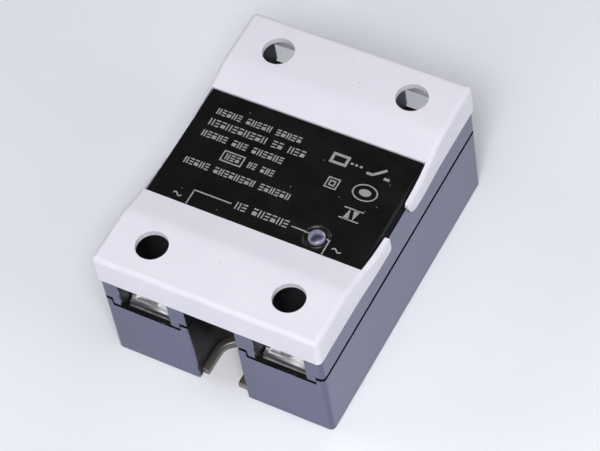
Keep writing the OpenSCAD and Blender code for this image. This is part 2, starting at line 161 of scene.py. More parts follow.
def specks(tree, vector, scale, size):
    """One where a small random spot is, zero elsewhere."""
    node = tree.nodes.new("ShaderNodeTexVoronoi")
    node.inputs["Scale"].default_value = scale
    tree.links.new(vector, node.inputs["Vector"])
    return ramp(tree, node.outputs["Distance"], size, size * 0.4, 0.0, 1.0)


def ramp(tree, value, low, high, out_low, out_high):
    """A value mapped from one range to another, and held at its ends."""
    node = tree.nodes.new("ShaderNodeMapRange")
    node.inputs["From Min"].default_value = low
    node.inputs["From Max"].default_value = high
    node.inputs["To Min"].default_value = out_low
    node.inputs["To Max"].default_value = out_high
    tree.links.new(value, node.inputs["Value"])
    return node.outputs["Result"]


def maths(tree, operation, a, b):
    """Result of an operation on two values; each is a number or a socket."""
    node = tree.nodes.new("ShaderNodeMath")
    node.operation = operation
    for socket, value in zip(node.inputs, (a, b)):
        if isinstance(value, (int, float)):
            socket.default_value = value
        else:
            tree.links.new(value, socket)
    return node.outputs["Value"]


def blend_colours(tree, factor, first, second):
    """Mix of two colours; each is a constant or a socket."""
    node = tree.nodes.new("ShaderNodeMix")
    node.data_type = "RGBA"
    tree.links.new(factor, node.inputs["Factor"])
    for key, value in (("A", first), ("B", second)):
        socket = [s for s in node.inputs if s.name == key and s.type == "RGBA"][0]
        if isinstance(value, bpy.types.NodeSocket):
            tree.links.new(value, socket)
        else:
            socket.default_value = (*value, 1.0)
    return [s for s in node.outputs if s.type == "RGBA"][0]


def bump(tree, height, depth, strength=1.0):
    """Normal from a height; depth is in millimetres."""
    node = tree.nodes.new("ShaderNodeBump")
    node.inputs["Strength"].default_value = strength
    node.inputs["Distance"].default_value = depth * MM
    tree.links.new(height, node.inputs["Height"])
    return node.outputs["Normal"]


# ---------------------------------------------------------------- materials


def cover_plastic():
    """White moulded plastic with a fine satin texture and faint smudges."""
    mat, tree, shader = new_material("cover_plastic")
    place = coordinates(tree)
    cloud = noise(tree, place, 0.12, 4.0)
    grain = noise(tree, place, 9.0, 2.0)
    tone = blend_colours(tree, cloud, (0.765, 0.752, 0.842), (0.815, 0.803, 0.885))
    dust = specks(tree, place, 0.22, 0.045)
    tree.links.new(
        blend_colours(tree, dust, tone, (0.50, 0.49, 0.53)), shader.inputs["Base Color"]
    )
    tree.links.new(ramp(tree, cloud, 0.3, 0.7, 0.36, 0.48), shader.inputs["Roughness"])
    shader.inputs["IOR"].default_value = 1.49
    shader.inputs["Subsurface Weight"].default_value = 0.12
    shader.inputs["Subsurface Radius"].default_value = (1.0, 0.9, 0.8)
    shader.inputs["Subsurface Scale"].default_value = 0.6 * MM
    tree.links.new(bump(tree, grain, 0.006), shader.inputs["Normal"])
    return mat


def case_plastic():
    """Polished black plastic: mirror-like, with faint haze, wipe marks and dust; its outer walls
    carry a painted blue reflection tint and its inner faces a painted shade that dims their
    reflection.
    """
    mat, tree, shader = new_material("case_plastic")
    place = coordinates(tree)
    haze = noise(tree, place, 0.10, 5.0, 0.6)
    wipes = noise(tree, coordinates(tree, (0.15, 1.0, 0.6)), 0.9, 3.0)
    tone = blend_colours(tree, haze, (0.0035, 0.0035, 0.0040), (0.0075, 0.0075, 0.0085))
    dust = specks(tree, place, 0.35, 0.05)
    tree.links.new(
        blend_colours(tree, dust, tone, (0.10, 0.10, 0.10)), shader.inputs["Base Color"]
    )
    smear = maths(tree, "MULTIPLY", haze, wipes)
    gloss = ramp(tree, smear, 0.12, 0.45, 0.03, 0.12)
    # Only the outer walls are polished; the wells, recesses and ledges are left as moulded, and
    # the same mask dims their reflection as painted shade.
    outer = outer_wall(tree, place)
    inner = maths(tree, "SUBTRACT", 1.0, outer)
    moulded = ramp(tree, haze, 0.3, 0.7, 0.42, 0.56)
    polished = maths(tree, "MULTIPLY", gloss, outer)
    tree.links.new(
        maths(tree, "ADD", polished, maths(tree, "MULTIPLY", moulded, inner)),
        shader.inputs["Roughness"],
    )
    shader.inputs["IOR"].default_value = 2.1
    # Painted reflection and shade: the specular tint is blue above one on the outer walls,
    # standing for mirrored bluish surroundings, and dimmed to a fifth further in as painted shade.
    tree.links.new(
        blend_colours(tree, outer, (0.20, 0.20, 0.22), (1.0, 1.06, 1.7)),
        shader.inputs["Specular Tint"],
    )
    ripple = noise(tree, place, 0.25, 2.0)
    tree.links.new(bump(tree, ripple, 0.02, 0.5), shader.inputs["Normal"])
    return mat


def outer_wall(tree, place):
    """One on the case's four outer walls, zero further in."""
    axes = tree.nodes.new("ShaderNodeSeparateXYZ")
    tree.links.new(place, axes.inputs["Vector"])
    across = maths(tree, "SUBTRACT", absolute(tree, axes.outputs["X"]), CASE_HIGH.x)
    along = maths(tree, "SUBTRACT", absolute(tree, axes.outputs["Y"]), CASE_HIGH.y)
    return ramp(tree, maths(tree, "MAXIMUM", across, along), -0.40, -0.22, 0.0, 1.0)


def absolute(tree, value):
    """A value without its sign."""
    return maths(tree, "ABSOLUTE", value, 0.0)


def label_film():
    """Black printed film with a satin face."""
    mat, tree, shader = new_material("label_film")
    place = coordinates(tree)
    cloud = noise(tree, place, 0.18, 4.0)
    scuffs = noise(tree, coordinates(tree, (0.08, 1.6, 1.0)), 1.2, 4.0, 0.7)
    lines = ramp(tree, scuffs, 0.66, 0.74, 0.0, 0.5)
    tone = blend_colours(tree, cloud, (0.0045, 0.0045, 0.0044), (0.0065, 0.0065, 0.0064))
    marked = blend_colours(tree, lines, tone, (0.020, 0.019, 0.020))
    dust = specks(tree, place, 0.30, 0.055)
    tree.links.new(
        blend_colours(tree, dust, marked, (0.16, 0.15, 0.13)), shader.inputs["Base Color"]
    )
    tree.links.new(ramp(tree, cloud, 0.3, 0.7, 0.30, 0.42), shader.inputs["Roughness"])
    shader.inputs["IOR"].default_value = 1.45
    tree.links.new(bump(tree, noise(tree, place, 5.0), 0.004), shader.inputs["Normal"])
    return mat


def label_ink():
    """Pale grey screen-printed ink, slightly uneven."""
    mat, tree, shader = new_material("label_ink")
    cover = noise(tree, coordinates(tree), 3.0, 4.0, 0.7)
    tree.links.new(
        blend_colours(tree, cover, (0.25, 0.235, 0.25), (0.38, 0.36, 0.375)),
        shader.inputs["Base Color"],
    )
    shader.inputs["Roughness"].default_value = 0.55
    shader.inputs["IOR"].default_value = 1.45
    tree.links.new(bump(tree, cover, 0.01), shader.inputs["Normal"])
    return mat


def metal(name, dark, light, rough_low, rough_high, brush=(1, 1, 1), depth=0.004, grain=3.0):
    """A plated metal: brushed or plain, with clouded roughness and small tarnish spots."""
    mat, tree, shader = new_material(name)
    place = coordinates(tree)
    brushed = noise(tree, coordinates(tree, brush), grain, 4.0, 0.6)
    cloud = noise(tree, place, 0.5, 4.0)
    tone = blend_colours(tree, cloud, dark, light)
    spots = specks(tree, place, 1.1, 0.09)
    stained = [0.45 * c for c in dark]
    tree.links.new(
        blend_colours(tree, spots, tone, stained), shader.inputs["Base Color"]
    )
    shader.inputs["Metallic"].default_value = 1.0
    lines = maths(tree, "MULTIPLY", brushed, 0.6)
    both = maths(tree, "ADD", lines, maths(tree, "MULTIPLY", cloud, 0.4))
    tree.links.new(ramp(tree, both, 0.3, 0.7, rough_low, rough_high), shader.inputs["Roughness"])
    tree.links.new(bump(tree, brushed, depth), shader.inputs["Normal"])
    return mat


def oval(tree, vector, x, y, length, width):
    """Squared distance in plan from (x, y), one on an oval that lies along the diagonal."""
    axes = tree.nodes.new("ShaderNodeSeparateXYZ")
    tree.links.new(vector, axes.inputs["Vector"])
    across = maths(tree, "SUBTRACT", axes.outputs["X"], x)
    along = maths(tree, "SUBTRACT", axes.outputs["Y"], y)
    total = None
    for operation, size in (("ADD", length), ("SUBTRACT", width)):
        diagonal = maths(tree, operation, across, along)
        part = maths(tree, "MULTIPLY", diagonal, diagonal)
        part = maths(tree, "DIVIDE", part, 2 * size**2)
        total = part if total is None else maths(tree, "ADD", total, part)
    return total


def milky_epoxy():
    """Milky epoxy of the indicator: painted shade makes it darker over its chip, and a painted
    highlight makes it lighter at its rim.
    """
    mat, tree, shader = new_material("led_epoxy")
    place = coordinates(tree)
    flow = noise(tree, place, 1.6, 3.0)
    cloud = ramp(tree, flow, 0.35, 0.65, 0.0, 1.0)
    haze = blend_colours(tree, cloud, (0.21, 0.21, 0.30), (0.42, 0.42, 0.55))
    # Painted shade: a dark oval over the chip stands for the dark reflector seen through the lens,
    # fixed in the colour.
    to_painted_shade = oval(tree, place, LED_X + 0.25, LED_Y - 0.45, 1.35, 0.75)
    painted_chip_shade = ramp(tree, to_painted_shade, 0.35, 1.2, 1.0, 0.0)
    body = blend_colours(tree, painted_chip_shade, haze, (0.055, 0.055, 0.100))
    # Painted highlight: a lighter ring at the lens's edge stands for light refracted at its
    # rounded rim.
    painted_rim_highlight = ramp(tree, oval(tree, place, LED_X, LED_Y, LED_R, LED_R), 0.78, 0.92, 0.0, 1.0)
    tree.links.new(
        blend_colours(tree, painted_rim_highlight, body, (0.28, 0.28, 0.38)), shader.inputs["Base Color"]
    )
    tree.links.new(ramp(tree, flow, 0.3, 0.7, 0.06, 0.14), shader.inputs["Roughness"])
    shader.inputs["Transmission Weight"].default_value = 0.2
    shader.inputs["IOR"].default_value = 1.52
    return mat


def dull(name, dark, light, rough_low, rough_high, scale=0.5, depth=0.02, grain=2.0):
    """A plain non-metal finish: clouded colour and roughness over a grained surface."""
    mat, tree, shader = new_material(name)
    place = coordinates(tree)
    cloud = noise(tree, place, scale, 5.0, 0.6)
    tree.links.new(blend_colours(tree, cloud, dark, light), shader.inputs["Base Color"])
    tree.links.new(ramp(tree, cloud, 0.3, 0.7, rough_low, rough_high), shader.inputs["Roughness"])
    shader.inputs["IOR"].default_value = 1.5
    tree.links.new(bump(tree, noise(tree, place, grain), depth), shader.inputs["Normal"])
    return mat


def board_laminate():
    """Green solder mask with a copper pour showing faintly through it."""
    mat, tree, shader = new_material("board_laminate")
    place = coordinates(tree)
    bricks = tree.nodes.new("ShaderNodeTexBrick")
    bricks.inputs["Scale"].default_value = 0.22
    bricks.inputs["Mortar Size"].default_value = 0.03
    tree.links.new(place, bricks.inputs["Vector"])
    cloud = noise(tree, place, 0.4)
    mask = blend_colours(tree, cloud, (0.020, 0.13, 0.045), (0.030, 0.17, 0.060))
    tree.links.new(
        blend_colours(tree, bricks.outputs["Fac"], mask, (0.045, 0.23, 0.085)),
        shader.inputs["Base Color"],
    )
    shader.inputs["Roughness"].default_value = 0.28
    tree.links.new(bump(tree, bricks.outputs["Fac"], 0.03), shader.inputs["Normal"])
    return mat


def floor_paper():
    """Plain pale paper with a very fine tooth."""
    mat, tree, shader = new_material("floor_paper")
    place = coordinates(tree)
    cloud = noise(tree, place, 0.02, 3.0)
    tree.links.new(
        blend_colours(tree, cloud, (0.87, 0.885, 0.945), (0.91, 0.925, 0.975)),
        shader.inputs["Base Color"],
    )
    shader.inputs["Roughness"].default_value = 0.75
    shader.inputs["Specular IOR Level"].default_value = 0.3
    tree.links.new(bump(tree, noise(tree, place, 4.0), 0.01), shader.inputs["Normal"])
    return mat


def slot_materials():
    """One finish for each material slot of the record."""
    return {
        "cover_plastic": cover_plastic(),
        "case_plastic": case_plastic(),
        "label_film": label_film(),
        "led_epoxy": milky_epoxy(),
        "plate_metal": metal(
            "plate_metal",
            (0.235, 0.215, 0.21),
            (0.35, 0.32, 0.315),
            0.42,
            0.58,
            brush=(0.1, 1, 1),
            depth=0.006,
        ),
        "terminal_metal": metal(
            "terminal_metal",
            (0.88, 0.88, 0.89),
            (0.96, 0.96, 0.98),
            0.28,
            0.46,
            brush=(0.10, 1, 1),
            depth=0.07,
            grain=2.2,
        ),
        "tinned_metal": metal(
            "tinned_metal", (0.58, 0.58, 0.58), (0.74, 0.74, 0.75), 0.25, 0.42
        ),
        "copper": metal("copper", (0.58, 0.28, 0.16), (0.78, 0.42, 0.26), 0.25, 0.42),
        "board_laminate": board_laminate(),
        "ceramic": dull("ceramic", (0.76, 0.73, 0.68), (0.86, 0.84, 0.79), 0.45, 0.6),
        "silicon": metal("silicon", (0.16, 0.18, 0.22), (0.24, 0.26, 0.30), 0.10, 0.2),
        "potting_resin": dull(
            "potting_resin",
            (0.022, 0.020, 0.018),
            (0.042, 0.037, 0.032),
            0.25,
            0.5,
            scale=0.15,
            depth=0.08,
            grain=0.3,
        ),
        "package_black": dull(
            "package_black",
            (0.014, 0.014, 0.015),
            (0.026, 0.026, 0.027),
            0.45,
            0.65,
            depth=0.03,
            grain=6.0,
        ),
        "capacitor_sleeve": dull(
            "capacitor_sleeve", (0.012, 0.016, 0.028), (0.022, 0.028, 0.045), 0.2, 0.34
        ),
        "resistor_lacquer": dull(
            "resistor_lacquer",
            (0.24, 0.37, 0.45),
            (0.33, 0.48, 0.56),
            0.25,
            0.42,
            depth=0.05,
            grain=1.0,
        ),
        "film_capacitor": dull(
            "film_capacitor", (0.50, 0.38, 0.07), (0.64, 0.50, 0.11), 0.3, 0.42
        ),
        "varistor_coating": dull(
            "varistor_coating",
            (0.02, 0.09, 0.30),
            (0.04, 0.14, 0.42),
            0.35,
            0.5,
            depth=0.08,
            grain=0.8,
        ),
    }


# ---------------------------------------------------------------- mesh helpers


def mesh_object(name, mesh_data):
    """An object in the scene from a bmesh in millimetres."""
    bmesh.ops.scale(mesh_data, vec=(MM, MM, MM), verts=mesh_data.verts)
    mesh = bpy.data.meshes.new(name)
    mesh_data.to_mesh(mesh)
    mesh_data.free()
    obj = bpy.data.objects.new(name, mesh)
    bpy.context.scene.collection.objects.link(obj)
    return obj


def soften(obj, width, segments=2, angle=32, weld=True):
    """Rounds an object's sharp edges a little, as moulded and stamped edges are."""
    if weld:
        join = obj.modifiers.new("join", "WELD")
        join.merge_threshold = 0.001 * MM
        flat = obj.modifiers.new("flat", "DECIMATE")
        flat.decimate_type = "DISSOLVE"
        flat.angle_limit = math.radians(0.4)
    edge = obj.modifiers.new("edge", "BEVEL")
    edge.width = width * MM
    edge.segments = segments
    edge.limit_method = "ANGLE"
    edge.angle_limit = math.radians(angle)
    edge.use_clamp_overlap = True
    edge.harden_normals = True
    edge.miter_outer = "MITER_ARC"
    normals = obj.modifiers.new("normals", "WEIGHTED_NORMAL")
    normals.keep_sharp = False
    normals.weight = 60


def prism(outline, low, high, axis="z"):
    """A closed solid swept from an outline of (u, v) points along one axis."""
    data = bmesh.new()
    spots = {"z": lambda u, v, w: (u, v, w), "x": lambda u, v, w: (w, u, v)}[axis]
    bottom = [data.verts.new(spots(u, v, low)) for u, v in outline]
    top = [data.verts.new(spots(u, v, high)) for u, v in outline]
    data.faces.new(list(reversed(bottom)))
    data.faces.new(top)
    count = len(outline)
    for i in range(count):
        j = (i + 1) % count
        data.faces.new((bottom[i], bottom[j], top[j], top[i]))
    bmesh.ops.recalc_face_normals(data, faces=data.faces)
    return data


def arc(cx, cy, r, start, end, steps):
    """Points on an arc, angles in degrees, both ends included."""
    return [
        (
            cx + r * math.cos(math.radians(start + (end - start) * i / steps)),
            cy + r * math.sin(math.radians(start + (end - start) * i / steps)),
        )
        for i in range(steps + 1)
    ]


def cut(obj, tool):
    """Cuts the tool out of obj and removes the tool."""
    step = obj.modifiers.new("cut", "BOOLEAN")
    step.operation = "DIFFERENCE"
    step.object = tool
    step.solver = "EXACT"
    bpy.context.view_layer.update()
    graph = bpy.context.evaluated_depsgraph_get()
    mesh = bpy.data.meshes.new_from_object(obj.evaluated_get(graph))
    obj.modifiers.clear()
    old = obj.data
    obj.data = mesh
    bpy.data.meshes.remove(old)
    bpy.data.objects.remove(tool)


# ---------------------------------------------------------------- covers


def cover_height(y):
    """Height of a cover's top: flat, then a saddle, with a soft blend where they meet."""
    steps = 8
    total = 0.0
    for i in range(steps + 1):
        spot = y + CREASE_BLEND * (2 * i / steps - 1)
        saddle = SADDLE_Z - math.sqrt(SADDLE_R**2 - min(spot, CREASE_Y) ** 2)
        total += min(COVER_TOP, saddle)
    return total / (steps + 1)


def cover_skin(inset, bottom, inner_end):
    """Closed solid of a rear cover's outside, or of its inside when inset is its thickness."""
    half = COVER_HALF_W - inset
    end = COVER_END - inset
    corner = max(COVER_CORNER_R - inset, COVER_INNER_R)
    edge = max(COVER_EDGE_R - inset, COVER_INNER_R)
    edge_steps = 6
    corner_steps = 8
    # Half of the outline, from the inner end to the middle of the outer end.
    stations = 26
    side = [
        (half, inner_end + (end - corner - inner_end) * i / stations, 1.0, 0.0)
        for i in range(stations)
    ]
    for i in range(corner_steps + 1):
        turn = math.radians(90 * i / corner_steps)
        side.append(
            (
                half - corner + corner * math.cos(turn),
                end - corner + corner * math.sin(turn),
                math.cos(turn),
                math.sin(turn),
            )
        )
    data = bmesh.new()
    rows = []
    for x, y, nx, ny in side:
        pair = []
        for sign in (1, -1):
            ring = [data.verts.new((sign * x, y, bottom))]
            for k in range(edge_steps + 1):
                turn = math.radians(90 * k / edge_steps)
                depth = edge * (1 - math.cos(turn))
                drop = edge * (1 - math.sin(turn))
                spot = y - ny * depth
                ring.append(
                    data.verts.new(
                        (sign * (x - nx * depth), spot, cover_height(spot) - inset - drop)
                    )
                )
            pair.append(ring)
        rows.append(pair)
    for (right, left), (next_right, next_left) in zip(rows, rows[1:]):
        for k in range(len(right) - 1):
            data.faces.new((right[k], next_right[k], next_right[k + 1], right[k + 1]))
            data.faces.new((left[k + 1], next_left[k + 1], next_left[k], left[k]))
        data.faces.new((right[-1], next_right[-1], next_left[-1], left[-1]))
        data.faces.new((left[0], next_left[0], next_right[0], right[0]))
    first_right, first_left = rows[0]
    data.faces.new([*first_right, *reversed(first_left)])
    last_right, last_left = rows[-1]
    for k in range(len(last_right) - 1):
        data.faces.new((last_right[k], last_left[k], last_left[k + 1], last_right[k + 1]))
    bmesh.ops.recalc_face_normals(data, faces=data.faces)
    return data


def splay(y):
    """How far a side arm has bent outwards at a distance y from the middle."""
    part = (SPLAY_START - y) / (SPLAY_START - SPLAY_FULL)
    return SPLAY * min(max(part, 0.0), 1.0)


def tip_outlines(low_r):
    """Side views of what is cut away below and above at an arm's tip."""
    arm_top = cover_height(ARM_GAP)
    low = arc(ARM_GAP + low_r, COVER_BOTTOM + low_r, low_r, 270, 180, 14)
    high = arc(ARM_GAP + TIP_TOP_R, arm_top - TIP_TOP_R, TIP_TOP_R, 180, 90, 8)
    below = [(ARM_GAP - 1, COVER_BOTTOM + low_r), (ARM_GAP - 1, COVER_BOTTOM - 1)]
    above = [(ARM_GAP + TIP_TOP_R, arm_top + 1), (ARM_GAP - 1, arm_top + 1)]
    return (
        low + below + [(ARM_GAP + low_r, COVER_BOTTOM - 1)],
        high + above + [(ARM_GAP - 1, arm_top - TIP_TOP_R)],
    )


def cover(name, turned):
    """One white cover: a shell with a saddle, two arms and two screwdriver holes."""
    shell = mesh_object(name, cover_skin(0.0, COVER_BOTTOM, ARM_GAP))
    inner = mesh_object("inner", cover_skin(COVER_T, COVER_BOTTOM - 2, ARM_GAP - 2))
    cut(shell, inner)
    opening = [(-OPENING_X, 0), (OPENING_X, 0), (OPENING_X, OPENING_Y), (-OPENING_X, OPENING_Y)]
    cut(shell, mesh_object("opening", prism(opening, COVER_BOTTOM - 3, COVER_TOP + 3)))
    for side in (-1, 1):
        round_hole = arc(side * HOLE_X, HOLE_Y, DRIVER_HOLE_R, 0, 360, 72)[:-1]
        cut(shell, mesh_object("hole", prism(round_hole, COVER_BOTTOM, COVER_TOP + 3)))
    far = COVER_HALF_W + 1
    for low_r, start, end in ((TIP_LOW_R, 0, far), (TIP_CORNER_R, -far, 0)):
        for outline in tip_outlines(low_r):
            cut(shell, mesh_object("tip", prism(outline, start, end, "x")))
    data = bmesh.new()
    data.from_mesh(shell.data)
    bmesh.ops.remove_doubles(data, verts=data.verts, dist=0.002 * MM)
    for vert in data.verts:
        vert.co.x += math.copysign(splay(vert.co.y / MM) * MM, vert.co.x)
    if turned:
        bmesh.ops.rotate(data, matrix=Matrix.Rotation(math.pi, 3, "Z"), verts=data.verts)
    data.to_mesh(shell.data)
    data.free()
    for face in shell.data.polygons:
        face.use_smooth = True
    soften(shell, 0.22, 3, 38, weld=False)
    return shell


def covers(finishes):
    """Both white covers, in the places of their CAD nodes."""
    for name, node, turned in (
        ("front_hood", "front_cover", True),
        ("rear_hood", "rear_cover", False),
    ):
        shell = cover(name, turned)
        shell.data.materials.clear()
        shell.data.materials.append(finishes["cover_plastic"])
        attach(shell, node)
        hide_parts(node)


def gussets(finishes):
    """The case's two quarter-round corners, which the arms' round tips come down over."""
    reach = TIP_LOW_R + GUSSET_GAP
    centre_y = ARM_GAP + TIP_LOW_R
    centre_z = COVER_BOTTOM + TIP_LOW_R
    turn = 180 + math.degrees(math.asin((centre_z - RIB_TOP) / reach))
    outline = arc(centre_y, centre_z, reach, turn, 270, 16)
    outline += [(centre_y, LEDGE_Z - GUSSET_ROOT), (RIB_END - GUSSET_ROOT, LEDGE_Z - GUSSET_ROOT)]
    outline += [(RIB_END - GUSSET_ROOT, RIB_TOP)]
    for name, turned in (("gusset_right", False), ("gusset_left", True)):
        data = prism(outline, CASE_STEP_X, CASE_HIGH.x + PROUD, "x")
        if turned:
            bmesh.ops.rotate(data, matrix=Matrix.Rotation(math.pi, 3, "Z"), verts=data.verts)
        piece = mesh_object(name, data)
        piece.data.materials.append(finishes["case_plastic"])
        soften(piece, 0.14, weld=False)
        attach(piece, "housing")


# ---------------------------------------------------------------- label print


def box_outline(x, y, w, h):
    """Corners of a w by h box around (x, y)."""
    return [
        (x - w / 2, y - h / 2),
        (x + w / 2, y - h / 2),
        (x + w / 2, y + h / 2),
        (x - w / 2, y + h / 2),
    ]


def add_ink(data, outline):
    """One flat patch of ink, a hair thick."""
    patch = prism(outline, INK_Z - INK_T, INK_Z + INK_T)
    mesh = bpy.data.meshes.new("patch")
    patch.to_mesh(mesh)
    patch.free()
    data.from_mesh(mesh)
    bpy.data.meshes.remove(mesh)


def stroke(data, points, width):
    """An inked line of even width through the points."""
    left, right = [], []
    for i, (x, y) in enumerate(points):
        a = Vector(points[max(i - 1, 0)])
        b = Vector(points[min(i + 1, len(points) - 1)])
        along = (b - a).normalized()
        across = Vector((-along.y, along.x)) * width / 2
        here = Vector((x, y))
        left.append(tuple(here + across))
        right.append(tuple(here - across))
    add_ink(data, left + list(reversed(right)))


def sloping_ink(data, ends, y, width):
    """A short line along X from one (x, drop) to another, which follows a slope."""
    corners = []
    for x, drop in ends:
        for side in (-1, 1):
            for level in (-1, 1):
                corners.append(
                    data.verts.new((x, y + side * width / 2, INK_Z - drop + level * INK_T))
                )
    hull = bmesh.ops.convex_hull(data, input=corners)["geom"]
    faces = [item for item in hull if isinstance(item, bmesh.types.BMFace)]
    bmesh.ops.recalc_face_normals(data, faces=faces)


def frame_box(data, x, y, w, h, width):
    """The outline of a box, drawn as four bars."""
    for side in (-1, 1):
        add_ink(data, box_outline(x, y + side * (h - width) / 2, w, width))
        add_ink(data, box_outline(x + side * (w - width) / 2, y, width, h - 2 * width))


def ring(data, x, y, rx, ry, width, steps=48):
    """An elliptic ring of even width."""
    for i in range(steps):
        a, b = (math.tau * (i + k) / steps for k in (0, 1))
        add_ink(
            data,
            [
                (x + rx * math.cos(a), y + ry * math.sin(a)),
                (x + rx * math.cos(b), y + ry * math.sin(b)),
                (x + (rx - width) * math.cos(b), y + (ry - width) * math.sin(b)),
                (x + (rx - width) * math.cos(a), y + (ry - width) * math.sin(a)),
            ],
        )


def disc(x, y, rx, ry, steps=32):
    """Outline of a filled ellipse."""
    return [
        (x + rx * math.cos(math.tau * i / steps), y + ry * math.sin(math.tau * i / steps))
        for i in range(steps)
    ]


def dummy_row(data, start, end, y, height, words):
    """A row of plain marks in word-sized groups, which stands where a line of print was."""
    pitch = (end - start) / (sum(words) + WORD_GAP * (len(words) - 1))
    width = pitch * 0.74
    x = start + pitch / 2
    turn = 0
    for count in words:
        for _ in range(count):
            kind = turn % 3
            if kind == 0:
                for side in (-1, 1):
                    add_ink(data, box_outline(x + side * (width - BAR) / 2, y, BAR, height))
            elif kind == 1:
                for level in (-1, 0, 1):
                    add_ink(data, box_outline(x, y + level * (height - BAR) / 2, width, BAR))
            else:
                add_ink(data, box_outline(x, y - height * 0.18, width, height * 0.5))
                add_ink(data, box_outline(x, y + (height - BAR) / 2, width, BAR))
            turn += 1
            x += pitch
        x += pitch * WORD_GAP


def wave(data, x, y, length, height):
    """The sign for alternating current."""
    steps = 14
    points = [
        (x + length * (i / steps - 0.5), y + height / 2 * math.sin(math.tau * i / steps))
        for i in range(steps + 1)
    ]
    stroke(data, points, BAR)


def contact_symbol(data, x, y):
    """Plain circuit symbol of a relay: a coil, a dashed link and a contact."""
    bold = 0.55
    frame_box(data, x - 4.1, y, 3.4, 2.3, bold)
    for i in range(3):
        add_ink(data, box_outline(x - 1.7 + i * 0.9, y, 0.5, bold * 0.8))
    stroke(data, [(x + 1.5, y - 0.7), (x + 2.8, y - 0.7)], bold)
    stroke(data, [(x + 2.7, y - 0.7), (x + 4.7, y + 1.1)], bold)
    stroke(data, [(x + 4.9, y - 0.7), (x + 6.0, y - 0.7)], bold)


def valve_symbol(data, x, y):
    """Plain circuit symbol of a two-way semiconductor switch."""
    half = 1.15
    for side in (-1, 1):
        shift = side * 0.65
        add_ink(
            data,
            [
                (x + shift - 0.6, y + side * half),
                (x + shift + 0.6, y + side * half),
                (x + shift, y - side * half),
            ][:: -side],
        )
        stroke(data, [(x - 1.9, y + side * half), (x + 1.9, y + side * half)], BAR)


def label_print(finishes):
    """Everything printed on the label: generic rows, symbols and the input circuit line."""
    data = bmesh.new()
    left = LABEL_LOW.x + 2.85
    dummy_row(data, left + 0.2, -0.8, 8.0, 1.35, (5, 5, 5))
    dummy_row(data, left, 1.3, 5.45, 1.5, (10, 2, 3))
    dummy_row(data, left, -1.7, 2.75, 1.4, (5, 3, 6))
    frame_box(data, -10.35, -0.3, 4.3, 2.4, BAR)
    dummy_row(data, -11.9, -8.8, -0.3, 1.3, (3,))
    dummy_row(data, -7.3, -1.9, -0.35, 1.35, (2, 3))
    dummy_row(data, left, 3.1, -3.7, 1.4, (5, 8, 6))
    dummy_row(data, -5.1, 5.6, -8.92, 1.55, (2, 6))
    contact_symbol(data, 11.4, 7.1)
    frame_box(data, 8.4, 2.0, 2.4, 2.4, BAR)
    frame_box(data, 8.4, 2.0, 1.2, 1.2, BAR)
    ring(data, 14.65, 2.4, 2.4, 1.8, BAR)
    add_ink(data, disc(14.65, 2.4, 1.15, 0.75))
    valve_symbol(data, 14.6, -2.7)
    wave(data, -15.7, -10.85, 1.7, 0.6)
    wave(data, 15.7, -10.45, 1.8, 0.6)
    edge = LABEL_LOW.y + 0.05
    corner_y = -8.95
    left_x, right_x = -13.25, 13.66
    words_start, words_end = -5.8, 6.1
    stroke(data, [(left_x, edge), (left_x, corner_y)], BAR)
    stroke(data, [(left_x - BAR / 2, corner_y), (words_start, corner_y)], BAR)
    stroke(data, [(words_end, corner_y), (LED_X - LED_RIM_R, corner_y)], BAR)
    # The line dips into the rim round the indicator and ends beside it.
    drape = [(LED_HOLE_R, LED_RIM_DROP), (LED_R + 0.35, 0.09), (LED_R + 0.12, 0.04)]
    right_start = right_x + BAR / 2 - LED_X
    share = (LED_RIM_R - right_start) / (LED_RIM_R - LED_HOLE_R)
    for side, start in ((-1, (LED_RIM_R, 0.0)), (1, (right_start, LED_RIM_DROP * share))):
        for pair in zip([start] + drape, drape):
            ends = [(LED_X + side * away, drop) for away, drop in pair]
            sloping_ink(data, ends, corner_y, BAR)
    stroke(data, [(right_x, corner_y), (right_x, edge)], BAR)
    piece = mesh_object("label_print", data)
    piece.data.materials.append(finishes["label_ink"])
    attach(piece, "housing")


# ---------------------------------------------------------------- indicator light


def lathe(name, profile, x, y, steps=48):
    """Solid of revolution from (radius, height) points: from axis to axis, or a closed ring."""
    data = bmesh.new()
    rows = []
    for r, z in profile:
        if r == 0:
            rows.append([data.verts.new((x, y, z))])
        else:
            turns = [math.tau * i / steps for i in range(steps)]
            rows.append(
                [data.verts.new((x + r * math.cos(t), y + r * math.sin(t), z)) for t in turns]
            )
    if profile[0][0] > 0:
        rows.append(rows[0])
    for lower, upper in zip(rows, rows[1:]):
        for i in range(steps):
            j = (i + 1) % steps
            if len(lower) == 1:
                data.faces.new((lower[0], upper[j], upper[i]))
            elif len(upper) == 1:
                data.faces.new((lower[i], lower[j], upper[0]))
            else:
                data.faces.new((lower[i], lower[j], upper[j], upper[i]))
    bmesh.ops.recalc_face_normals(data, faces=data.faces)
    for face in data.faces:
        face.smooth = True
    return mesh_object(name, data)


